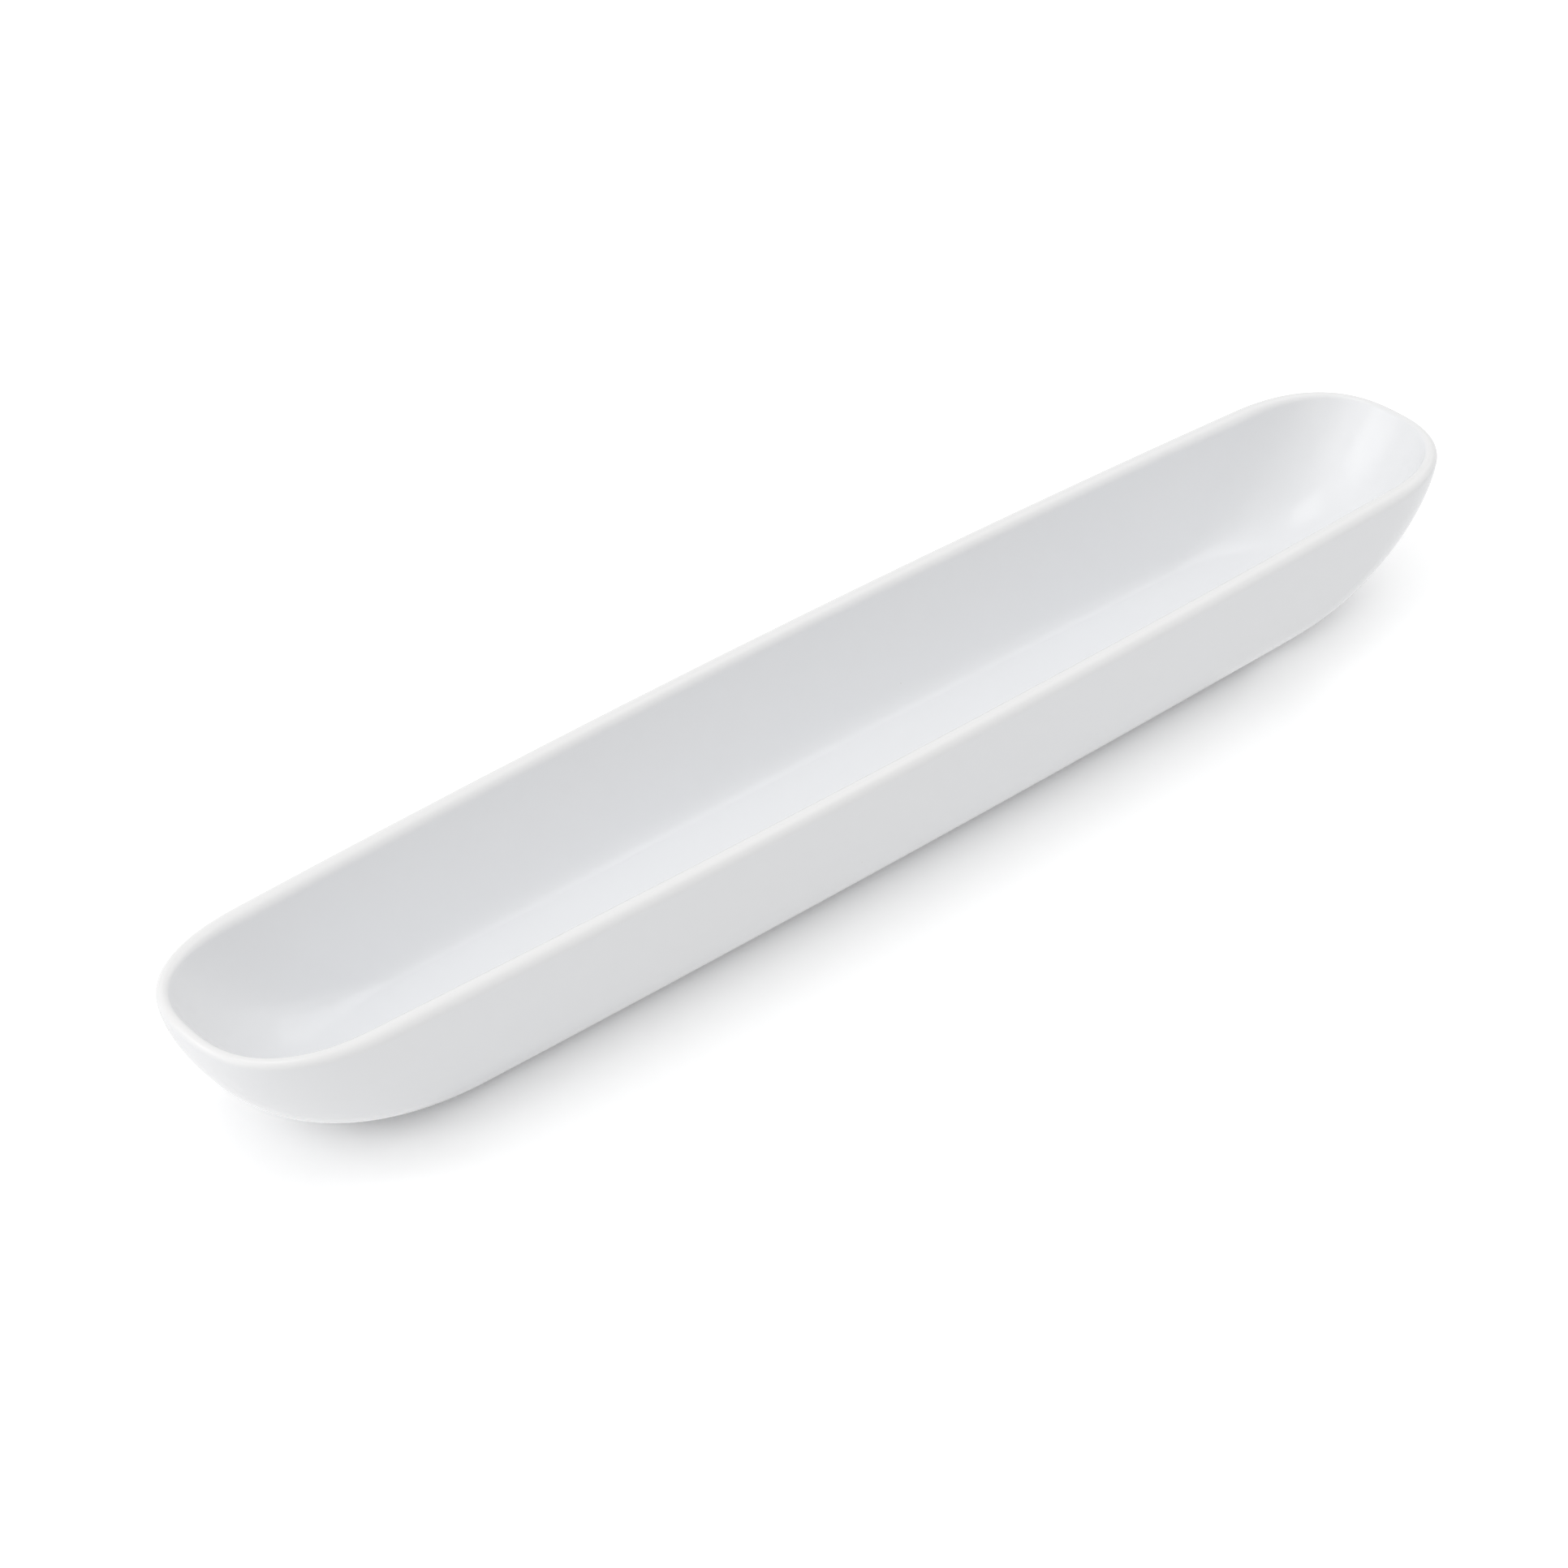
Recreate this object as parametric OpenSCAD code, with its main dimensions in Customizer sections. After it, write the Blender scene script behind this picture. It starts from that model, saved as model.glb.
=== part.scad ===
// Olive dish: a long, narrow, boat-shaped serving dish of white glazed porcelain.
// Sizes are in millimetres. X runs along the dish, Y across it and Z up. The origin is
// under the middle of the dish, on the surface that it stands on.

/* [Overall size] */
// Length over the rim
dish_length = 300; // [240:5:360]
// Width over the rim, at the middle of the dish
dish_width = 50; // [42:1:70]
// Height from the table to the top of the rim, at the middle of the dish
dish_height = 30; // [22:1:45]

/* [Outline of the rim] */
// Length of each rounded end of the rim
rim_end = 27.5; // [18:0.5:40]
// Squareness of the rim's ends, where 2 is an ellipse and more is squarer
rim_square = 2.5; // [2:0.1:3]
// How far the middle of each long side stands out past a straight side
rim_bow = 3.4; // [0.4:0.2:6]
// How far the tips of the rim lie below its middle
end_drop = 0.7; // [0:0.1:2]

/* [Hull] */
// How far each end overhangs the foot
end_rake = 35; // [16:1:60]
// How far each side overhangs the foot
side_flare = 10.5; // [6:0.5:13]
// How upright the wall is below the rim, where more is straighter for longer
wall_upright = 1.5; // [1.2:0.02:2.4]
// How full the hull's ends are near the foot, where more is fuller
end_fullness = 2.25; // [1.6:0.05:3]
// How full the hull's sides are near the foot, where more is fuller
side_fullness = 2.2; // [1.6:0.05:2.8]

/* [Foot] */
// Height of the step on which the hull stands
foot_height = 0.8; // [0.6:0.1:2]
// Length of each rounded end of the foot
foot_end = 22.5; // [12:0.5:36]
// How far the middle of the foot's long side stands out past a straight side
foot_bow = 0.7; // [0.1:0.1:2]
// Width of the ring that bears on the table
foot_ring = 4; // [2.5:0.5:6]
// Depth of the hollow inside the foot ring
recess_depth = 0.8; // [0.5:0.1:1.5]
// Bevel along the foot ring's outer edge
foot_bevel = 0.2; // [0.1:0.05:0.3]

/* [Well] */
// Thickness of the wall at the rim of the sides, glaze included
wall = 3.8; // [3:0.2:6]
// Thickness of the wall at the rim of the tips, glaze included
end_wall = 2.2; // [1.8:0.2:5]
// Thickness of the floor above the foot step, glaze included
floor_thickness = 4.2; // [3:0.2:7]
// How far the flat of the floor lies inside the foot's outline
floor_inset = 2; // [1:0.5:5]
// How full the well's ends are near the floor, where more is fuller
well_end_fullness = 2.5; // [1.8:0.1:3]
// How full the well's sides are near the floor, where more is fuller
well_side_fullness = 2; // [1.6:0.1:2.4]

/* [Glaze] */
// Thickness of the glaze
glaze = 0.3; // [0.15:0.05:0.4]
// Height of the bare strip between the table and the lower edge of the glaze
bare_strip = 0.4; // [0.3:0.05:0.5]

/* [Hidden] */

// Steps around each rounded end and along each half of a side, in a quarter of an outline
END_STEPS = 12;
SIDE_STEPS = 6;
// Steps up the hull and down the well, and over the rim
WALL_STEPS = 10;
RIM_STEPS = 8;
// Room for a cutting tool to start outside the solid it cuts
CUT_ROOM = 1;
// An ellipse's exponent, for the ends of the foot
ELLIPSE = 2;

QUARTER_STEPS = END_STEPS + SIDE_STEPS;
OUTLINE_STEPS = 4 * QUARTER_STEPS;
floor_height = foot_height + floor_thickness;
// Lean of the well's end wall from upright where it meets the rim, as the slope of its curve there
well_depth = dish_height - end_drop - floor_height;
end_lean = atan((end_rake + floor_inset - end_wall) / well_end_fullness / well_depth);

// An outline is [half-length, half-width, end length, end squareness, bow]
rim_plan = [dish_length / 2, dish_width / 2, rim_end, rim_square, rim_bow];
foot_plan = [dish_length / 2 - end_rake, dish_width / 2 - side_flare, foot_end, ELLIPSE, foot_bow];

function mix(low, high, share) = low + (high - low) * share;

// How far a wall has gone from the foot's outline to the rim's at share s of its height
function rise(s, upright, fullness) = pow(1 - pow(1 - s, upright), 1 / fullness);

// Outline between the foot's and the rim's, with its own share for the ends and for the sides
function plan_between(end_share, side_share) = [
    mix(foot_plan[0], rim_plan[0], end_share),
    mix(foot_plan[1], rim_plan[1], side_share),
    mix(foot_plan[2], rim_plan[2], end_share),
    mix(foot_plan[3], rim_plan[3], end_share),
    mix(foot_plan[4], rim_plan[4], side_share)
];

// Step of point i of a whole outline, counted from the nearest tip to the middle of the side
function quarter_step(i) =
    let (k = i % QUARTER_STEPS)
    floor(i / QUARTER_STEPS) % 2 == 0 ? k : QUARTER_STEPS - k;

// Angle of a step around the end, from 0 at the tip to 90 along the side
function end_angle(k) = 90 * min(k / END_STEPS, 1);

// Point k of an outline's first quarter, from the tip on +X to the middle of the side on +Y
function quarter_point(plan, k) =
    let (
        angle = end_angle(k),
        reach = plan[2] * pow(cos(angle), 2 / plan[3]),
        along = k > END_STEPS ? (QUARTER_STEPS - k) / SIDE_STEPS : 1,
        x = (plan[0] - plan[2]) * along + reach,
        bowed = plan[1] - plan[4] * pow(x / plan[0], 2)
    )
    [x, bowed * pow(sin(angle), 2 / plan[3])];

// Whole outline, anticlockwise from the tip on +X
function outline(plan) = [
    for (i = [0 : OUTLINE_STEPS - 1])
        let (
            quadrant = floor(i / QUARTER_STEPS),
            p = quarter_point(plan, quarter_step(i))
        )
        [quadrant == 0 || quadrant == 3 ? p[0] : -p[0], quadrant < 2 ? p[1] : -p[1]]
];

// Outline moved inwards, square to itself, by a distance for each point
function inset(points, distances) = [
    for (i = [0 : OUTLINE_STEPS - 1])
        let (
            ahead = points[(i + 1) % OUTLINE_STEPS],
            behind = points[(i + OUTLINE_STEPS - 1) % OUTLINE_STEPS],
            run = (ahead - behind) / norm(ahead - behind)
        )
        points[i] - distances[i] * [run[1], -run[0]]
];

// How near each point of an outline is to a tip, from 0 along the sides to 1 at the tip
tips = [for (i = [0 : OUTLINE_STEPS - 1]) cos(end_angle(quarter_step(i)))];
// Radius of the half-round rim at each point: it thins towards the tips
rim_radii = [for (tip = tips) mix(wall, end_wall, tip) / 2];
rim_line = outline(rim_plan);
// Height of the rim's centre at each point
rim_centres = [
    for (i = [0 : OUTLINE_STEPS - 1])
        dish_height - rim_radii[i] - end_drop * pow(rim_line[i][0] / rim_plan[0], 2)
];
// Lean of the well's wall below the rim at each point
leans = end_lean * tips;

// One value for every point of an outline
function all(value) = [for (i = [0 : OUTLINE_STEPS - 1]) value];

// Ring of points on an outline, each moved inwards and set at a height
function ring(plan, distances, heights) =
    let (moved = inset(outline(plan), distances))
    [for (i = [0 : OUTLINE_STEPS - 1]) [moved[i][0], moved[i][1], heights[i]]];

// Ring around the foot, moved inwards and set at a height
function foot_step(distance, height) = ring(foot_plan, all(distance), all(height));

// Heights bunch up towards the foot and the floor, where the walls turn fastest
function wall_share(i) = pow(i / WALL_STEPS, 2);

function hull_ring(s) =
    ring(
        plan_between(rise(s, wall_upright, end_fullness), rise(s, wall_upright, side_fullness)),
        all(0),
        [for (centre = rim_centres) mix(foot_height, centre, s)]
    );

// Ring at a share of the way over the rim, from the hull to where the well's wall takes over
function rim_ring(share) =
    let (angles = [for (lean = leans) share * (180 - lean)])
    ring(
        rim_plan,
        [for (i = [0 : OUTLINE_STEPS - 1]) rim_radii[i] * (1 - cos(angles[i]))],
        [for (i = [0 : OUTLINE_STEPS - 1]) rim_centres[i] + rim_radii[i] * sin(angles[i])]
    );

// The well's sides turn upright at the rim, and its ends climb on to it at their lean
function well_ring(s) =
    let (side_share = rise(s, wall_upright, well_side_fullness))
    ring(
        plan_between(rise(s, 1, well_end_fullness), side_share),
        [
            for (i = [0 : OUTLINE_STEPS - 1])
                mix(floor_inset, rim_radii[i] * (1 + cos(leans[i])), side_share)
        ],
        [
            for (i = [0 : OUTLINE_STEPS - 1])
                mix(floor_height, rim_centres[i] + rim_radii[i] * sin(leans[i]), s)
        ]
    );

// Rings of the glazed surface, from its lower edge up the hull, over the rim and down to the floor
outer_rings = concat(
    [foot_step(0, bare_strip)],
    [for (i = [0 : WALL_STEPS]) hull_ring(wall_share(i))],
    [for (i = [1 : RIM_STEPS]) rim_ring(i / RIM_STEPS)],
    [for (i = [1 : WALL_STEPS]) well_ring(wall_share(WALL_STEPS - i))]
);
LAST_RING = len(outer_rings) - 1;

// Direction out of the glazed surface at point j of ring i
function facing(i, j) =
    let (
        ring_here = outer_rings[i],
        run = ring_here[(j + 1) % OUTLINE_STEPS] - ring_here[(j + OUTLINE_STEPS - 1) % OUTLINE_STEPS],
        climb = outer_rings[i + 1][j] - outer_rings[i - 1][j],
        out = cross(run, climb)
    )
    out / norm(out);

// Rings of the fired body under the glaze: the foot step's side and corner, the walls, and the floor
body_rings = concat(
    [foot_step(glaze, bare_strip), foot_step(glaze, foot_height + glaze)],
    [
        for (i = [2 : LAST_RING - 1])
            [for (j = [0 : OUTLINE_STEPS - 1]) outer_rings[i][j] - glaze * facing(i, j)]
    ],
    [[for (p = outer_rings[LAST_RING]) p - [0, 0, glaze]]]
);

// Bare foot below the glaze's edge, from the table up
bare_rings = [
    foot_step(glaze + foot_bevel, 0),
    foot_step(glaze, foot_bevel)
];

// Hollow inside the foot ring
recess_outline = inset(outline(foot_plan), all(glaze + foot_ring));

function flatten(lists) = [for (l = lists) each l];

// Triangles of a sheet of rings that climb the hull, facing outwards, numbered from a first point
function sheet(rings, first = 0) = [
    for (i = [0 : rings - 2])
        for (j = [0 : OUTLINE_STEPS - 1])
            let (
                a = first + i * OUTLINE_STEPS + j,
                b = first + i * OUTLINE_STEPS + (j + 1) % OUTLINE_STEPS
            )
            each [[a, a + OUTLINE_STEPS, b], [b, a + OUTLINE_STEPS, b + OUTLINE_STEPS]]
];

// The same triangles seen from their other side
function turned(faces) = [for (f = faces) [f[2], f[1], f[0]]];

// Flat face across one ring, facing up or down
function lid_up(first) = [for (j = [OUTLINE_STEPS - 1 : -1 : 0]) first + j];
function lid_down(first) = [for (j = [0 : OUTLINE_STEPS - 1]) first + j];

// Fired porcelain: walls, floor and foot, bare only where it stands
module porcelain_body() {
    rings = concat(bare_rings, body_rings);
    color([0.93, 0.92, 0.89])
        difference() {
            polyhedron(
                points = flatten(rings),
                faces = concat(
                    sheet(len(rings)),
                    [lid_down(0), lid_up((len(rings) - 1) * OUTLINE_STEPS)]
                )
            );
            translate([0, 0, -CUT_ROOM])
                linear_extrude(CUT_ROOM + recess_depth)
                    polygon(recess_outline);
        }
}

// Glaze over the hull, the rim and the well, down to the bare strip of the foot
module glaze_coat() {
    count = len(outer_rings);
    inner_first = count * OUTLINE_STEPS;
    edge = [
        for (j = [0 : OUTLINE_STEPS - 1])
            let (k = (j + 1) % OUTLINE_STEPS)
            each [[inner_first + j, j, k], [inner_first + j, k, inner_first + k]]
    ];
    color([0.96, 0.97, 0.97])
        polyhedron(
            points = concat(flatten(outer_rings), flatten(body_rings)),
            faces = concat(
                sheet(count),
                [lid_up((count - 1) * OUTLINE_STEPS)],
                turned(sheet(count, inner_first)),
                [lid_down(inner_first + (count - 1) * OUTLINE_STEPS)],
                edge
            )
        );
}

// Glaze on the underside, inside the foot ring
module base_glaze() {
    color([0.95, 0.96, 0.96])
        translate([0, 0, recess_depth - glaze])
            linear_extrude(glaze)
                polygon(recess_outline);
}

porcelain_body();
glaze_coat();
base_glaze();
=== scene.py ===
"""White porcelain olive dish: its glaze, its bare foot, a studio floor, soft light and a camera.

Every surface is a grid of rings. A ring is the dish's outline at one level, and the rings run from the
foot up the hull, over the rim, down the well and across its floor. Lengths are in metres.
"""

import logging
from dataclasses import dataclass, replace
from enum import Enum
from typing import Any, Optional, Union

import bpy
import numpy as np
from mathutils import Matrix, Vector


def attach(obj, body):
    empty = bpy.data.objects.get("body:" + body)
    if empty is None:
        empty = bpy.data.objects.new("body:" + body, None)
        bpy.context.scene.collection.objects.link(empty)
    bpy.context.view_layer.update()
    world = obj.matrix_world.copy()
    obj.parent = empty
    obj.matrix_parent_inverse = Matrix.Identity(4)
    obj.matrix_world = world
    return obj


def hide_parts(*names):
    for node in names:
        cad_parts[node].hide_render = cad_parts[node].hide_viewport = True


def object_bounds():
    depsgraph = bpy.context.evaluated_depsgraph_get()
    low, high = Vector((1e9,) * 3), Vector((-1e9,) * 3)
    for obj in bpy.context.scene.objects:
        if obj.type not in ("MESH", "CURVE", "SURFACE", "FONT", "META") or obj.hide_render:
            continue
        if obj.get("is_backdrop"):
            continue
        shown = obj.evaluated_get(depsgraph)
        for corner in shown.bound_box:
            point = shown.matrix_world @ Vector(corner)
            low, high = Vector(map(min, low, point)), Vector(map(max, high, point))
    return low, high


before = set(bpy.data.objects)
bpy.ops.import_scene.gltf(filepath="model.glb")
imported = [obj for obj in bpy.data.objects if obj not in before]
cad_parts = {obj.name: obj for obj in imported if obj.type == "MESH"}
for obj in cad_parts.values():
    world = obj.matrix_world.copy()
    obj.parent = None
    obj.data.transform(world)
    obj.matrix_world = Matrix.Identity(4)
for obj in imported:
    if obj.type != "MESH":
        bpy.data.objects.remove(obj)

LOG = logging.getLogger("olive_dish")
MM = 0.001
BODY = "root"
DEPTH_ATTRIBUTE = "glaze_depth"
WHITE = (1.0, 1.0, 1.0, 1.0)
PORCELAIN_IOR = 1.5
# Nearly all values of a noise lie in this range.
NOISE_SPAN = (0.3, 0.7)
# Sockets of a colour mix node, several of which have the same name.
MIX_SHARE, MIX_LOW, MIX_HIGH, MIX_RESULT = 0, 6, 7, 2
# Keeps a length of 0 out of a division.
TINY = 1e-12

Numbers = Union[float, np.ndarray]
Colour = tuple[float, float, float]
Pair = tuple[float, float]


class Node(Enum):
    """The dish's three solids, by their names in the frame."""

    PORCELAIN = "porcelain_body"
    COAT = "glaze_coat"
    BASE = "base_glaze"


class Ray(Enum):
    """Kinds of ray that see the floor and the surroundings as white, by their Light Path sockets."""

    CAMERA = "Is Camera Ray"
    GLOSS = "Is Glossy Ray"
    GLASS = "Is Transmission Ray"


def mix(low: Numbers, high: Numbers, share: Numbers) -> Numbers:
    """Value at a share of the way from low to high."""
    return low + (high - low) * share


def column(values: np.ndarray) -> np.ndarray:
    """Values as a column, one row for each ring."""
    return np.asarray(values, float).reshape(-1, 1)


@dataclass(frozen=True)
class Stations:
    """Places around an outline, anticlockwise from the tip on +X.

    A quarter of the outline has end_steps around its rounded end and side_steps along half a side.
    """

    end_steps: int = 56
    side_steps: int = 44

    @property
    def quarter(self) -> int:
        """Steps in a quarter of the outline."""
        return self.end_steps + self.side_steps

    @property
    def count(self) -> int:
        """Steps around the whole outline."""
        return 4 * self.quarter

    def layout(self) -> tuple[np.ndarray, np.ndarray, np.ndarray, np.ndarray]:
        """Where each station lies.

        Returns:
            The angle around the end, the share along the straight of the side, and the signs of x and y.
        """
        quadrant, step = np.divmod(np.arange(self.count), self.quarter)
        step = np.where(quadrant % 2 == 0, step, self.quarter - step)
        angle = np.pi / 2 * np.minimum(step / self.end_steps, 1)
        along = np.minimum((self.quarter - step) / self.side_steps, 1)
        x_sign = np.where((quadrant == 0) | (quadrant == 3), 1, -1)
        y_sign = np.where(quadrant < 2, 1, -1)
        return angle, along, x_sign, y_sign


@dataclass(frozen=True)
class Plan:
    """Level outline of the dish, with two bowed sides and two rounded ends.

    A field holds one number, or a column of them with a row for each ring.
    """

    half_length: Numbers
    half_width: Numbers
    end: Numbers
    square: Numbers
    bow: Numbers

    def toward(self, other: "Plan", end_share: Numbers, side_share: Numbers) -> "Plan":
        """Outline between this one and another.

        Args:
            other: The outline at a share of 1.
            end_share: How far the ends have gone.
            side_share: How far the sides have gone.

        Returns:
            The outline in between, for every share.
        """
        return Plan(
            mix(self.half_length, other.half_length, end_share),
            mix(self.half_width, other.half_width, side_share),
            mix(self.end, other.end, end_share),
            mix(self.square, other.square, end_share),
            mix(self.bow, other.bow, side_share),
        )

    def points(self, stations: Stations) -> tuple[np.ndarray, np.ndarray]:
        """Outline as x and y, with a row for each ring.

        The end is a superellipse: x goes as the cosine and y as the sine of an angle, each to the power of
        2 over the squareness. The half-width drops by the bow times the square of x over the half-length.

        Args:
            stations: The places around the outline.

        Returns:
            The x and the y of every point.
        """
        angle, along, x_sign, y_sign = stations.layout()
        power = 2 / self.square
        cosine = np.clip(np.cos(angle), 0, 1) ** power
        sine = np.clip(np.sin(angle), 0, 1) ** power
        x = (self.half_length - self.end) * along + self.end * cosine
        y = (self.half_width - self.bow * (x / self.half_length) ** 2) * sine
        return x_sign * x, y_sign * y


def inset(x: np.ndarray, y: np.ndarray, distance: Numbers) -> tuple[np.ndarray, np.ndarray]:
    """Outline moved inwards, square to itself.

    The way in is the tangent, from the neighbours on both sides, turned by a quarter turn.

    Args:
        x: The outline's x, with a row for each ring.
        y: The outline's y.
        distance: How far in, one number or a column.

    Returns:
        The moved x and y.
    """
    run_x = np.roll(x, -1, axis=1) - np.roll(x, 1, axis=1)
    run_y = np.roll(y, -1, axis=1) - np.roll(y, 1, axis=1)
    length = np.hypot(run_x, run_y)
    return x - distance * run_y / length, y + distance * run_x / length


def rise(share: np.ndarray, upright: float, fullness: float) -> np.ndarray:
    """How far a wall has moved out at a share of its height: (1 - (1 - share)^upright)^(1 / fullness)."""
    return (1 - (1 - share) ** upright) ** (1 / fullness)


@dataclass(frozen=True)
class Rings:
    """Rings of points on one surface, and how deep the glaze lies on each ring, from 0 to 1."""

    points: np.ndarray
    depth: np.ndarray

    def then(self, *others: "Rings") -> "Rings":
        """These rings followed by others."""
        every = (self, *others)
        return Rings(np.concatenate([r.points for r in every]), np.concatenate([r.depth for r in every]))

    def back(self) -> "Rings":
        """The same rings in the opposite order."""
        return Rings(self.points[::-1], self.depth[::-1])


@dataclass(frozen=True)
class GlazeDepths:
    """How deep the glaze lies, from 0 where it is thinnest to 1.

    It runs down the hull and gathers at the foot, draws back from the rim's crest and pools in the well.
    """

    hull: float = 0.75
    foot_gain: float = 0.2
    foot_power: int = 4
    rim_edge: float = 0.6
    well: float = 0.6
    pool_gain: float = 0.3
    pool_power: int = 3
    underside: float = 0.5

    def on_hull(self, share: np.ndarray) -> np.ndarray:
        """Depth at a share of the hull's height: it grows as a power of the way down to the foot."""
        return self.hull + self.foot_gain * (1 - share) ** self.foot_power

    def on_rim(self, share: np.ndarray) -> np.ndarray:
        """Depth at a share of the way over the rim: the depth at its edge times one less a half sine."""
        return self.rim_edge * (1 - np.sin(np.pi * share))

    def in_well(self, share: np.ndarray) -> np.ndarray:
        """Depth at a share of the well's height: it grows as a power of the way down to the floor."""
        return self.well + self.pool_gain * (1 - share) ** self.pool_power


@dataclass(frozen=True)
class DishForm:
    """Sizes of the dish and the surfaces that follow from them."""

    length: float
    width: float
    height: float
    rim_end: float = 27.5 * MM
    rim_square: float = 2.5
    rim_bow: float = 3.4 * MM
    end_drop: float = 0.7 * MM
    end_rake: float = 35 * MM
    side_flare: float = 10.5 * MM
    wall_upright: float = 1.5
    end_fullness: float = 2.25
    side_fullness: float = 2.2
    foot_height: float = 0.8 * MM
    foot_end: float = 22.5 * MM
    foot_square: float = 2.0
    foot_bow: float = 0.7 * MM
    foot_ring: float = 4 * MM
    foot_bevel: float = 0.2 * MM
    recess_depth: float = 0.8 * MM
    wall: float = 3.8 * MM
    end_wall: float = 2.2 * MM
    floor_thickness: float = 4.2 * MM
    floor_inset: float = 2 * MM
    well_end_upright: float = 1.0
    well_end_fullness: float = 2.5
    well_side_fullness: float = 2.0
    glaze: float = 0.3 * MM
    bare_strip: float = 0.4 * MM
    depths: GlazeDepths = GlazeDepths()
    stations: Stations = Stations()
    wall_steps: int = 44
    rim_steps: int = 24
    floor_steps: int = 10

    @property
    def rim_plan(self) -> Plan:
        """Outline of the rim's outer edge."""
        return Plan(self.length / 2, self.width / 2, self.rim_end, self.rim_square, self.rim_bow)

    @property
    def foot_plan(self) -> Plan:
        """Outline of the foot step.

        Returns:
            The rim's length and width less the rake and the flare on both sides, with elliptic ends.
        """
        half_length = self.length / 2 - self.end_rake
        half_width = self.width / 2 - self.side_flare
        return Plan(half_length, half_width, self.foot_end, self.foot_square, self.foot_bow)

    @property
    def ring_inset(self) -> float:
        """How far the foot ring's inner edge lies inside the foot's outline."""
        return self.glaze + self.foot_ring

    @property
    def floor_height(self) -> float:
        """Height of the well's floor."""
        return self.foot_height + self.floor_thickness

    @property
    def tips(self) -> np.ndarray:
        """How near each station is to a tip, from 0 along the sides to 1 at the tip."""
        return np.cos(self.stations.layout()[0])

    @property
    def rim_radii(self) -> np.ndarray:
        """Radius of the half-round rim at each station: it thins towards the tips."""
        return mix(self.wall, self.end_wall, self.tips) / 2

    @property
    def rim_centres(self) -> np.ndarray:
        """Height of the rim's centre at each station: the crest sinks by end_drop (2 x / length)^2."""
        x = self.rim_plan.points(self.stations)[0]
        return self.height - self.rim_radii - self.end_drop * (2 * x / self.length) ** 2

    @property
    def leans(self) -> np.ndarray:
        """Lean of the well's wall below the rim at each station, from the slope of the well's end curve."""
        run = (self.end_rake + self.floor_inset - self.end_wall) / self.well_end_fullness
        return np.arctan(run / (self.height - self.end_drop - self.floor_height)) * self.tips

    def ring_block(self, plan: Plan, distance: Numbers, height: Numbers, depth: np.ndarray) -> Rings:
        """Rings on an outline, moved inwards and set at a height.

        Args:
            plan: The outline of each ring.
            distance: How far in, with a row for each ring or a column for each station, or both.
            height: How high, in the same form.
            depth: The depth of the glaze on each ring.

        Returns:
            The rings, as many as depth has values.
        """
        shape = (len(depth), self.stations.count)
        x, y = (np.broadcast_to(values, shape) for values in plan.points(self.stations))
        inner_x, inner_y = inset(x, y, distance)
        return Rings(np.stack([inner_x, inner_y, np.broadcast_to(height, shape)], axis=-1), depth)

    def foot_rings(self, distances: list[float], heights: list[float]) -> Rings:
        """Rings around the foot's outline, each moved inwards by its distance and set at its height."""
        return self.ring_block(self.foot_plan, column(distances), column(heights), np.zeros(len(heights)))

    def wall_shares(self) -> np.ndarray:
        """Shares of a wall's height, squared to bunch up at the bottom, where the wall turns fastest."""
        return np.linspace(0, 1, self.wall_steps + 1) ** 2

    def hull(self) -> Rings:
        """Outside of the wall, which goes from the foot's outline to the rim's along the rise curves.

        Returns:
            The rings from the foot step to the rim.
        """
        share = self.wall_shares()
        plan = self.foot_plan.toward(
            self.rim_plan,
            column(rise(share, self.wall_upright, self.end_fullness)),
            column(rise(share, self.wall_upright, self.side_fullness)),
        )
        height = mix(self.foot_height, self.rim_centres, column(share))
        return self.ring_block(plan, 0.0, height, self.depths.on_hull(share))

    def rim(self) -> Rings:
        """Round over the rim to where the well's wall takes over, without its first ring.

        The angle around the rim's centre goes up to a half turn less the lean of the well's wall.

        Returns:
            The rings from the hull to the well.
        """
        share = np.linspace(0, 1, self.rim_steps + 1)[1:]
        angle = column(share) * (np.pi - self.leans)
        distance = self.rim_radii * (1 - np.cos(angle))
        height = self.rim_centres + self.rim_radii * np.sin(angle)
        return self.ring_block(self.rim_plan, distance, height, self.depths.on_rim(share))

    def well(self) -> Rings:
        """Inside of the wall, from below the rim down to the flat of the floor.

        It goes from the rim's outline to the foot's along the rise curves, moved inwards. Its sides turn
        upright at the rim, and its ends climb on to it at their lean.

        Returns:
            The rings from the rim to the floor.
        """
        share = self.wall_shares()[::-1][1:]
        side_share = column(rise(share, self.wall_upright, self.well_side_fullness))
        end_share = column(rise(share, self.well_end_upright, self.well_end_fullness))
        distance = mix(self.floor_inset, self.rim_radii * (1 + np.cos(self.leans)), side_share)
        top = self.rim_centres + self.rim_radii * np.sin(self.leans)
        height = mix(self.floor_height, top, column(share))
        plan = self.foot_plan.toward(self.rim_plan, end_share, side_share)
        return self.ring_block(plan, distance, height, self.depths.in_well(share))

    def flat(self, edge: np.ndarray, depth: float) -> Rings:
        """Level rings that shrink from an edge ring to a spine along X, without the edge ring.

        Every point moves in a straight line to the spine: y goes to 0, and x to its own value held within
        the half-length less the half-width.

        Args:
            edge: The points of the ring that bounds the flat.
            depth: The depth of the glaze on it.

        Returns:
            The rings, the last of which is the spine.
        """
        reach = edge[:, 0].max() - edge[:, 1].max()
        spine = edge * [1, 0, 1]
        spine[:, 0] = np.clip(edge[:, 0], -reach, reach)
        share = np.linspace(0, 1, self.floor_steps + 1)[1:].reshape(-1, 1, 1)
        return Rings(mix(edge[None], spine[None], share), np.full(self.floor_steps, depth))

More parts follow.
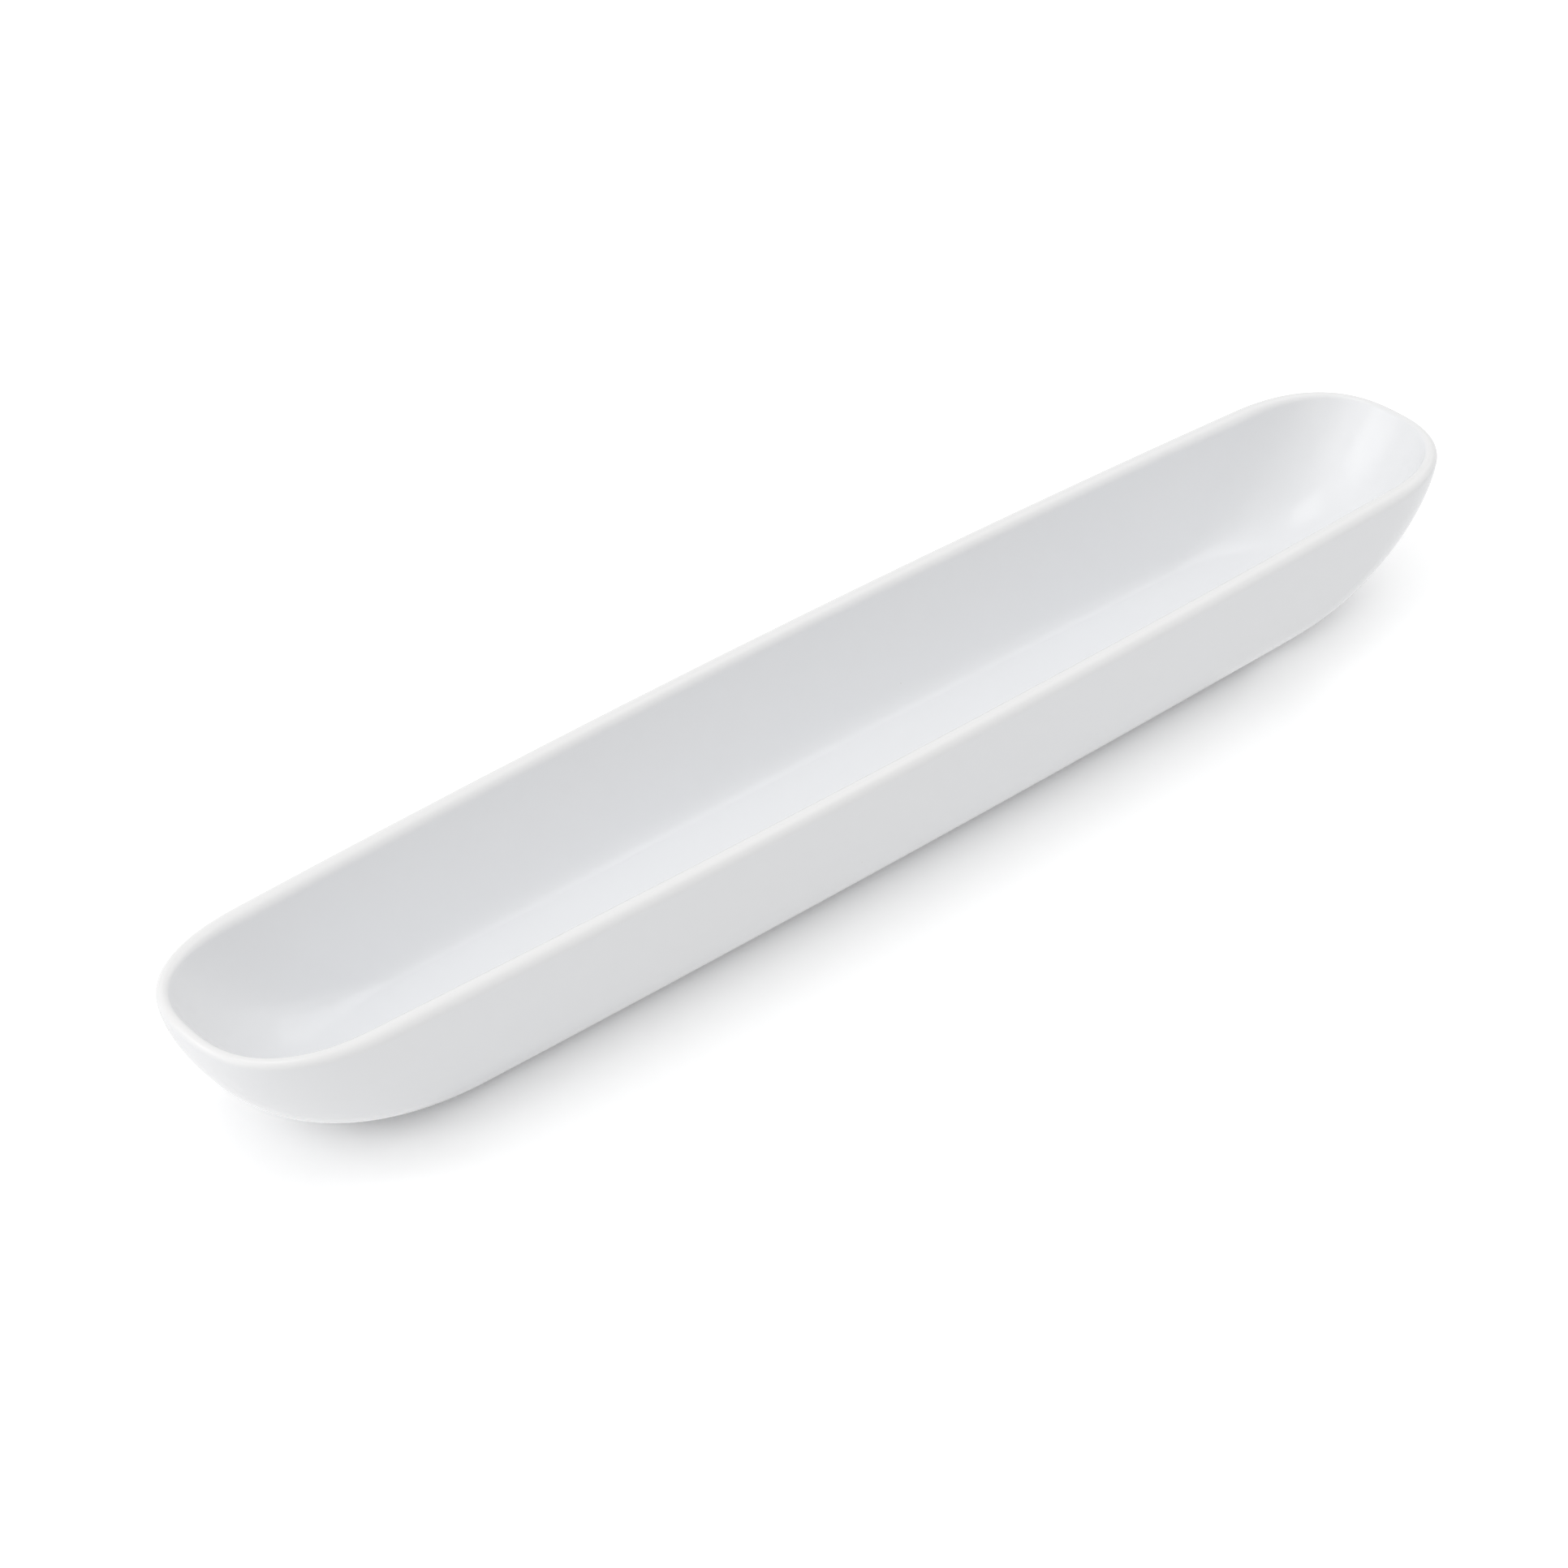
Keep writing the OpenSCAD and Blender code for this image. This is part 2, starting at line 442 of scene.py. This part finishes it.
    def glazed(self) -> Rings:
        """Glazed surface, from its lower edge over the hull, the rim and the well to the floor's spine."""
        rings = self.foot_rings([0.0], [self.bare_strip]).then(self.hull(), self.rim(), self.well())
        return rings.then(self.flat(rings.points[-1], rings.depth[-1]))

    def under_glaze(self) -> Rings:
        """Fired surface under the glaze: the glazed one moved in along its normal by the glaze's thickness.

        A normal is the cross product of the run around a ring and the climb from ring to ring. The foot
        step's side and corner, and the flat of the floor, move straight in instead.

        Returns:
            As many rings as the glazed surface has.
        """
        rings = self.glazed()
        points = rings.points
        run = np.roll(points, -1, axis=1) - np.roll(points, 1, axis=1)
        normal = np.cross(run, np.gradient(points, axis=0))
        normal /= np.maximum(np.linalg.norm(normal, axis=-1, keepdims=True), TINY)
        moved = points - self.glaze * normal
        foot = self.foot_rings([self.glaze] * 2, [self.bare_strip, self.foot_height + self.glaze])
        floor_first = len(points) - self.floor_steps - 1
        moved[: len(foot.points)] = foot.points
        moved[floor_first:] = points[floor_first:] - [0, 0, self.glaze]
        return Rings(moved, rings.depth)


def new_object(name: str, data: bpy.types.ID) -> bpy.types.Object:
    """Object in the scene, at the origin.

    Args:
        name: The object's name.
        data: Its mesh, lamp or camera.

    Returns:
        The object.
    """
    made = bpy.data.objects.new(name, data)
    bpy.context.scene.collection.objects.link(made)
    return made


def ring_mesh(name: str, rings: Rings) -> bpy.types.Object:
    """Closed mesh over rings, whose faces point to the right of the climb, as on a hull that is climbed.

    The faces are quads between neighbouring rings. The first and the last ring are spines: flattened rings
    whose two sides share their points.

    Args:
        name: The object's name.
        rings: The rings from first to last.

    Returns:
        A smooth-shaded mesh object, with the glaze's depth as a point attribute.
    """
    count, around = rings.points.shape[:2]
    index = np.arange(count * around).reshape(count, around)
    folded = np.minimum(np.arange(around), around - np.arange(around))
    index[[0, -1]] = index[[0, -1]][:, folded]
    ahead = np.roll(index, -1, axis=1)
    quads = np.stack([index[:-1], ahead[:-1], ahead[1:], index[1:]], axis=-1).reshape(-1, 4)
    used, quads = np.unique(quads, return_inverse=True)
    vertices = rings.points.reshape(-1, 3)[used]
    depth = np.repeat(rings.depth, around)[used].astype(np.float32)
    mesh = bpy.data.meshes.new(name)
    mesh.from_pydata(vertices.tolist(), [], quads.reshape(-1, 4).tolist())
    mesh.attributes.new(DEPTH_ATTRIBUTE, "FLOAT", "POINT").data.foreach_set("value", depth)
    mesh.polygons.foreach_set("use_smooth", np.ones(len(mesh.polygons), bool))
    mesh.update()
    return new_object(name, mesh)


@dataclass
class Graph:
    """A material's or the world's node tree, with short calls to fill it."""

    tree: bpy.types.NodeTree

    def add(self, kind: str, settings: Optional[dict[str, Any]] = None, **inputs: Any) -> bpy.types.Node:
        """New node.

        Args:
            kind: The node's type, without the ShaderNode in front.
            settings: The node's own properties.
            inputs: Its sockets by name, with _ for a space. A socket is linked, and a value is set.

        Returns:
            The node.
        """
        made = self.tree.nodes.new("ShaderNode" + kind)
        for key, value in (settings or {}).items():
            setattr(made, key, value)
        for key, value in inputs.items():
            self.put(made.inputs[key.replace("_", " ")], value)
        return made

    def put(self, socket: bpy.types.NodeSocket, value: Any) -> None:
        """Fills a socket.

        Args:
            socket: The socket of a node's input.
            value: Another socket, which is linked to it, or a value, which it is set to.
        """
        if isinstance(value, bpy.types.NodeSocket):
            self.tree.links.new(value, socket)
        else:
            socket.default_value = value

    def blend(self, share: bpy.types.NodeSocket, low: Any, high: Any) -> bpy.types.NodeSocket:
        """Colour at a share of the way from low to high.

        Args:
            share: The share.
            low: The colour at 0, or its socket.
            high: The colour at 1, or its socket.

        Returns:
            The colour.
        """
        made = self.add("Mix", {"data_type": "RGBA"})
        self.put(made.inputs[MIX_SHARE], share)
        for place, value in ((MIX_LOW, low), (MIX_HIGH, high)):
            self.put(made.inputs[place], value if isinstance(value, bpy.types.NodeSocket) else (*value, 1))
        return made.outputs[MIX_RESULT]

    def ranged(self, value: Any, span: Pair, result: Pair, curve: str = "LINEAR") -> bpy.types.NodeSocket:
        """Value carried from one range into another and held within it.

        Args:
            value: The value.
            span: The range that it comes from.
            result: The range that it is carried into.
            curve: LINEAR, or SMOOTHSTEP to ease in and out at the ends of the range.

        Returns:
            The carried value.
        """
        limits = dict(zip(("From_Min", "From_Max", "To_Min", "To_Max"), (*span, *result)))
        return self.add("MapRange", {"interpolation_type": curve}, Value=value, **limits).outputs["Result"]

    def smooth(self, value: Any, span: Pair, result: Pair) -> bpy.types.NodeSocket:
        """Value carried as by ranged, but easing in and out at the ends of the range."""
        return self.ranged(value, span, result, "SMOOTHSTEP")

    def maths(self, operation: str, first: Any, second: Any) -> bpy.types.NodeSocket:
        """Result of one sum on two values.

        Args:
            operation: The sum, by the Math node's name for it.
            first: The first value or its socket.
            second: The second value or its socket.

        Returns:
            The result.
        """
        made = self.add("Math", {"operation": operation})
        self.put(made.inputs[0], first)
        self.put(made.inputs[1], second)
        return made.outputs["Value"]

    def place(self) -> bpy.types.NodeSocket:
        """Object coordinates of the point that is shaded."""
        return self.add("TexCoord").outputs["Object"]

    def noise(self, size: float, detail: float = 2.0) -> bpy.types.NodeSocket:
        """Noise on object coordinates, with features of about that size in metres."""
        return self.add("TexNoise", Vector=self.place(), Scale=1 / size, Detail=detail).outputs["Fac"]

    def bump(self, noise: bpy.types.NodeSocket, height: float, **under: Any) -> bpy.types.NodeSocket:
        """Normal bent by a noise of that height, over another Normal where one is given."""
        return self.add("Bump", Height=noise, Distance=height, Strength=1.0, **under).outputs["Normal"]

    def sent_by(self, *rays: Ray) -> bpy.types.NodeSocket:
        """Whether a ray is of one of these kinds.

        Args:
            rays: The kinds.

        Returns:
            1 if it is and 0 if not, as the largest of the kinds' Light Path values.
        """
        path = self.add("LightPath").outputs
        found = path[rays[0].value]
        for ray in rays[1:]:
            found = self.maths("MAXIMUM", found, path[ray.value])
        return found

    def glow(self, strength: bpy.types.NodeSocket) -> bpy.types.NodeSocket:
        """White light of a strength."""
        return self.add("Emission", Color=WHITE, Strength=strength).outputs["Emission"]

    def join(self, kind: str, first: Any, second: Any, **inputs: Any) -> bpy.types.NodeSocket:
        """Two shaders as one.

        Args:
            kind: AddShader or MixShader. Both have the two shaders as their last sockets.
            first: The first shader.
            second: The second shader.
            inputs: Other sockets by name.

        Returns:
            The shader.
        """
        made = self.add(kind, **inputs)
        self.put(made.inputs[-2], first)
        self.put(made.inputs[-1], second)
        return made.outputs["Shader"]


def new_material(name: str) -> tuple[bpy.types.Material, Graph]:
    """Empty node material.

    Args:
        name: The material's name.

    Returns:
        The material and its graph.
    """
    made = bpy.data.materials.new(name)
    made.use_nodes = True
    made.node_tree.nodes.clear()
    return made, Graph(made.node_tree)


@dataclass(frozen=True)
class PorcelainFinish:
    """Surface of fired porcelain. Each kind of it has its own colour, roughness and normal."""

    name: str

    def look(self, g: Graph) -> dict[str, bpy.types.NodeSocket]:
        """Base colour, roughness and normal, by the names of the shader's sockets."""
        raise NotImplementedError

    def material(self) -> bpy.types.Material:
        """Finish as a node material.

        Returns:
            The material.
        """
        made, g = new_material(self.name)
        shader = g.add("BsdfPrincipled", IOR=PORCELAIN_IOR, **self.look(g))
        g.add("OutputMaterial", Surface=shader.outputs["BSDF"])
        return made


@dataclass(frozen=True)
class GlazeFinish(PorcelainFinish):
    """Gloss white glaze, a little warm where it is thin and cool where it pools.

    A speck is full inside the first and gone outside the second of speck_edge, in shares of the spacing.
    """

    thin: Colour = (0.872, 0.870, 0.868)
    deep: Colour = (0.880, 0.890, 0.908)
    cloud_size: float = 45 * MM
    cloud_detail: float = 4.0
    cloud_spread: Pair = (-0.12, 0.12)
    speck: Colour = (0.52, 0.47, 0.40)
    speck_spacing: float = 9 * MM
    speck_edge: Pair = (0.012, 0.022)
    speck_strength: float = 0.35
    speckless_share: float = 0.8
    roughness: Pair = (0.17, 0.20)
    roughness_detail: float = 3.0
    wave_size: float = 16 * MM
    wave_height: float = 0.02 * MM
    peel_size: float = 1.4 * MM
    peel_height: float = 0.0012 * MM

    def specks(self, g: Graph) -> bpy.types.NodeSocket:
        """Rare specks, in the middle of cells that are drawn by the cells' random colours.

        Args:
            g: The material's graph.

        Returns:
            How strongly a speck shows.
        """
        cells = g.add("TexVoronoi", Vector=g.place(), Scale=1 / self.speck_spacing).outputs
        dot = g.ranged(cells["Distance"], self.speck_edge, (self.speck_strength, 0.0))
        draw = g.add("SeparateColor", Color=cells["Color"]).outputs["Red"]
        return g.maths("MULTIPLY", dot, g.maths("GREATER_THAN", draw, self.speckless_share))

    def look(self, g: Graph) -> dict[str, bpy.types.NodeSocket]:
        """Colour that follows the glaze's depth, with clouds and specks, over long waves and a fine peel.

        Args:
            g: The material's graph.

        Returns:
            The shader's sockets.
        """
        depth = g.add("Attribute", {"attribute_name": DEPTH_ATTRIBUTE}).outputs["Fac"]
        cloud = g.ranged(g.noise(self.cloud_size, self.cloud_detail), NOISE_SPAN, self.cloud_spread)
        clouded = g.blend(g.maths("ADD", depth, cloud), self.thin, self.deep)
        gloss = g.noise(self.wave_size, self.roughness_detail)
        wave = g.bump(g.noise(self.wave_size), self.wave_height)
        return {
            "Base_Color": g.blend(self.specks(g), clouded, self.speck),
            "Roughness": g.ranged(gloss, NOISE_SPAN, self.roughness),
            "Normal": g.bump(g.noise(self.peel_size), self.peel_height, Normal=wave),
        }


@dataclass(frozen=True)
class BareFinish(PorcelainFinish):
    """Unglazed fired porcelain, polished smooth: dense, matt, faintly warm and fine-grained."""

    pale: Colour = (0.79, 0.775, 0.745)
    toned: Colour = (0.70, 0.675, 0.63)
    blotch_size: float = 14 * MM
    blotch_detail: float = 5.0
    blotch_span: Pair = (0.35, 0.7)
    roughness: Pair = (0.48, 0.66)
    grain_size: float = 0.35 * MM
    grain_detail: float = 3.0
    grain_height: float = 0.012 * MM

    def look(self, g: Graph) -> dict[str, bpy.types.NodeSocket]:
        """Blotched tone with a fine grain.

        Args:
            g: The material's graph.

        Returns:
            The shader's sockets.
        """
        blotch = g.ranged(g.noise(self.blotch_size, self.blotch_detail), self.blotch_span, (0.0, 1.0))
        grain = g.noise(self.grain_size, self.grain_detail)
        return {
            "Base_Color": g.blend(blotch, self.pale, self.toned),
            "Roughness": g.ranged(grain, NOISE_SPAN, self.roughness),
            "Normal": g.bump(grain, self.grain_height),
        }


@dataclass
class DishPiece:
    """One solid of the dish: what it stands for, the name of its slot, and the finish that it wears."""

    form: DishForm
    node: Node
    slot: str
    finish: PorcelainFinish

    def surface(self) -> Rings:
        """Rings of the solid's whole surface, from spine to spine."""
        raise NotImplementedError

    def build(self) -> bpy.types.Object:
        """Makes the mesh, dresses it and puts it in the place of its CAD solid.

        Returns:
            The finished piece.
        """
        made = ring_mesh(self.node.value + "_surface", self.surface())
        made.data.materials.append(self.finish.material())
        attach(made, BODY)
        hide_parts(self.node.value)
        LOG.info("%s: %d faces, in %s", made.name, len(made.data.polygons), self.finish.name)
        return made


@dataclass
class GlazeCoat(DishPiece):
    """Glaze over the hull, the rim and the well, as a thin closed shell."""

    def surface(self) -> Rings:
        """Fired surface from the floor's spine out to the lower edge, and back over the glaze."""
        return self.form.under_glaze().back().then(self.form.glazed())


@dataclass
class PorcelainBody(DishPiece):
    """Fired body under the glaze, bare on its foot ring, with a shallow recess inside the ring."""

    def surface(self) -> Rings:
        """From the recess over its ceiling, down its wall, across the foot ring and up under the glaze.

        Returns:
            The rings from the recess's spine to the floor's.
        """
        form = self.form
        inner, bevel = form.ring_inset, form.foot_bevel
        ring = form.foot_rings(
            [inner, inner, inner - bevel, form.glaze + bevel, form.glaze],
            [form.recess_depth, bevel, 0.0, 0.0, bevel],
        )
        ceiling = form.flat(ring.points[0], 0.0).back()
        return ceiling.then(ring, form.under_glaze())


@dataclass
class BaseGlaze(DishPiece):
    """Thin glaze on the underside, inside the foot ring."""

    def surface(self) -> Rings:
        """From the lower face's spine out to its edge, up the edge and back over the upper face.

        Returns:
            The rings from the lower spine to the upper one.
        """
        form, depth = self.form, self.form.depths.underside
        edge = form.foot_rings([form.ring_inset] * 2, [form.recess_depth - form.glaze, form.recess_depth])
        lower, upper = (form.flat(points, depth) for points in edge.points)
        return lower.back().then(edge, upper)


@dataclass(frozen=True)
class SoftLamp:
    """Square soft lamp that looks at the dish.

    Its place is a turn from +X about +Z, a tilt above the floor and a distance. Its level is the light that
    it gives a face square to it, where 1 shows a white face as white.
    """

    name: str
    turn: float
    tilt: float
    size: float
    level: float
    distance: float = 1.2

    def build(self, target: Vector) -> bpy.types.Object:
        """Puts up the lamp.

        A lamp of power p lights a face at distance d with p / (pi d)^2 of white, so its power is
        level (pi d)^2.

        Args:
            target: The point that it looks at.

        Returns:
            The lamp.
        """
        turn, tilt = np.radians([self.turn, self.tilt])
        way = Vector((np.cos(turn) * np.cos(tilt), np.sin(turn) * np.cos(tilt), np.sin(tilt)))
        data = bpy.data.lights.new(self.name, "AREA")
        data.shape = "SQUARE"
        data.size = self.size
        data.energy = self.level * (np.pi * self.distance) ** 2
        made = new_object(self.name, data)
        made.location = target + way * self.distance
        made.rotation_euler = way.to_track_quat("Z", "Y").to_euler()
        return made


@dataclass(frozen=True)
class Studio:
    """Plain white floor, even surroundings with soft lamps, and the camera.

    The shadow's spine is a stretch of the X axis under the dish. A lift is light that the floor adds to its
    own white for the camera alone. The pair in a reach are distances from the spine, or past its ends, and
    the pair in the lift or the level of the same name are its values there.
    """

    ambient: float = 0.596
    floor_size: float = 8.0
    floor_seen: Colour = (1.0, 1.0, 1.0)
    floor_bounce: Colour = (0.9, 0.9, 0.9)
    spine_half: float = 90 * MM
    spine_shift: float = 14 * MM
    near_reach: Pair = (19 * MM, 26 * MM)
    near_lift: Pair = (0.07, 0.118)
    far_reach: Pair = (34 * MM, 154 * MM)
    far_lift: Pair = (0.0, 0.3)
    ends_reach: Pair = (10 * MM, 28 * MM)
    ends_lift: Pair = (0.0, 0.034)
    # Painted shade: a gloss sees the floor as white, dimmed near the dish to stand in for its shadow.
    mirror_shade_reach: Pair = (16.5 * MM, 21.5 * MM)
    mirror_shade_level: Pair = (0.76, 1.0)
    lamps: tuple[SoftLamp, ...] = (
        SoftLamp("top", turn=0.0, tilt=80.0, size=1.0, level=0.065),
        SoftLamp("top_box", turn=143.0, tilt=75.0, size=0.5, level=0.09),
        SoftLamp("left", turn=180.0, tilt=42.0, size=1.4, level=0.152),
        SoftLamp("back_left", turn=163.0, tilt=30.0, size=1.3, level=0.182),
        SoftLamp("end_box", turn=146.0, tilt=33.0, size=0.42, level=0.052),
        SoftLamp("right", turn=0.0, tilt=45.0, size=0.8, level=0.105),
        SoftLamp("front_right", turn=330.0, tilt=15.0, size=0.8, level=0.05),
    )
    target: tuple[float, float, float] = (0.0, 0.0, 20 * MM)
    azimuth: float = -41.522
    elevation: float = 36.347
    distance: float = 708.32 * MM
    left_move: float = 13.879 * MM
    down_move: float = 10.59 * MM
    lens: float = 87.36
    sensor: float = 36.0
    clip_start: float = 10 * MM

    def world(self) -> None:
        """Even white surroundings: a plain level of light, and white to the camera, a gloss and glass."""
        made = bpy.data.worlds.new("studio")
        bpy.context.scene.world = made
        made.use_nodes = True
        made.node_tree.nodes.clear()
        g = Graph(made.node_tree)
        strength = g.ranged(g.sent_by(*Ray), (0.0, 1.0), (self.ambient, 1.0))
        shader = g.add("Background", Color=WHITE, Strength=strength)
        g.add("OutputWorld", Surface=shader.outputs["Background"])

    def spine_distances(self, g: Graph) -> tuple[bpy.types.NodeSocket, bpy.types.NodeSocket]:
        """How far a point of the floor lies from the shadow's spine, and how far past the spine's ends.

        The way past the ends is |x + spine_shift| less spine_half, or 0 if that is less than 0. The
        distance is the length of the vector of that way and y.

        Args:
            g: The floor material's graph.

        Returns:
            The distance and the way past the ends.
        """
        steps = (
            ("ADD", (self.spine_shift, 0, 0)),
            ("ABSOLUTE", (0, 0, 0)),
            ("SUBTRACT", (self.spine_half, 0, 0)),
            ("MAXIMUM", (0, 0, 0)),
        )
        beyond = g.place()
        for operation, other in steps:
            step = g.add("VectorMath", {"operation": operation})
            g.put(step.inputs[0], beyond)
            g.put(step.inputs[1], other)
            beyond = step.outputs["Vector"]
        distance = g.add("VectorMath", {"operation": "LENGTH"}, Vector=beyond).outputs["Value"]
        return distance, g.add("SeparateXYZ", Vector=beyond).outputs["X"]

    def floor_material(self) -> bpy.types.Material:
        """White floor that keeps the dish's shadow.

        For the camera it has three lifts, which are added up: one that is least near the dish, one that
        grows with the distance and one past the spine's ends. A gloss and glass see it as white with
        painted shade near the dish, which stands in for its shadow there.

        Returns:
            The material.
        """
        made, g = new_material("floor_white")
        camera = g.sent_by(Ray.CAMERA)
        distance, past = self.spine_distances(g)
        near = g.smooth(distance, self.near_reach, self.near_lift)
        far = g.ranged(distance, self.far_reach, self.far_lift)
        ends = g.smooth(past, self.ends_reach, self.ends_lift)
        lift = g.maths("MULTIPLY", camera, g.maths("ADD", ends, g.maths("ADD", near, far)))
        paper = g.add("BsdfDiffuse", Color=g.blend(camera, self.floor_bounce, self.floor_seen))
        lifted = g.join("AddShader", paper.outputs["BSDF"], g.glow(lift))
        # Painted shade in the gloss: the floor's white dims near the dish, where its shadow lies.
        shaded_mirror_glow = g.glow(g.smooth(distance, self.mirror_shade_reach, self.mirror_shade_level))
        shader = g.join("MixShader", lifted, shaded_mirror_glow, Fac=g.sent_by(Ray.GLOSS, Ray.GLASS))
        g.add("OutputMaterial", Surface=shader)
        return made

    def floor(self) -> bpy.types.Object:
        """Square floor around the origin.

        Returns:
            The floor.
        """
        half = self.floor_size / 2
        mesh = bpy.data.meshes.new("floor")
        corners = [(-half, -half, 0), (half, -half, 0), (half, half, 0), (-half, half, 0)]
        mesh.from_pydata(corners, [], [(0, 1, 2, 3)])
        mesh.materials.append(self.floor_material())
        made = new_object("floor", mesh)
        made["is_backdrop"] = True
        return made

    def camera(self) -> bpy.types.Object:
        """Camera at the photograph's viewing angle, with no lens shift and no depth of field.

        It looks along the line to the target, and is then moved to its own left and down.

        Returns:
            The camera.
        """
        turn, tilt = np.radians([self.azimuth, self.elevation])
        back = Vector((np.sin(turn) * np.cos(tilt), -np.cos(turn) * np.cos(tilt), np.sin(tilt)))
        right = Vector((np.cos(turn), np.sin(turn), 0))
        up = back.cross(right)
        data = bpy.data.cameras.new("camera")
        data.lens = self.lens
        data.sensor_width = self.sensor
        data.clip_start = self.clip_start
        made = new_object("camera", data)
        made.matrix_world = Matrix((right, up, back)).transposed().to_4x4()
        moved = right * self.left_move + up * self.down_move
        made.location = Vector(self.target) - moved + back * self.distance
        bpy.context.scene.camera = made
        return made

    def build(self) -> None:
        """Sets up the view, the camera, the floor and the light."""
        bpy.context.scene.view_settings.view_transform = "Standard"
        self.camera()
        self.world()
        self.floor()
        for lamp in self.lamps:
            lamp.build(Vector(self.target))
        LOG.info("studio: camera at %.1f, %.1f degrees", self.azimuth, self.elevation)


def main() -> None:
    """Builds the studio and the dish's pieces."""
    logging.basicConfig(level=logging.INFO, format="%(name)s: %(message)s")
    cad_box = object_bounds()
    size = cad_box[1] - cad_box[0]
    form = DishForm(length=size.x, width=size.y, height=size.z)
    Studio().build()
    white = GlazeFinish("white_glaze")
    PorcelainBody(form, Node.PORCELAIN, "bare_porcelain", BareFinish("bare_porcelain")).build()
    GlazeCoat(form, Node.COAT, "white_glaze", white).build()
    BaseGlaze(form, Node.BASE, "base_glaze", replace(white, name="base_glaze")).build()


if __name__ == "__main__":
    main()
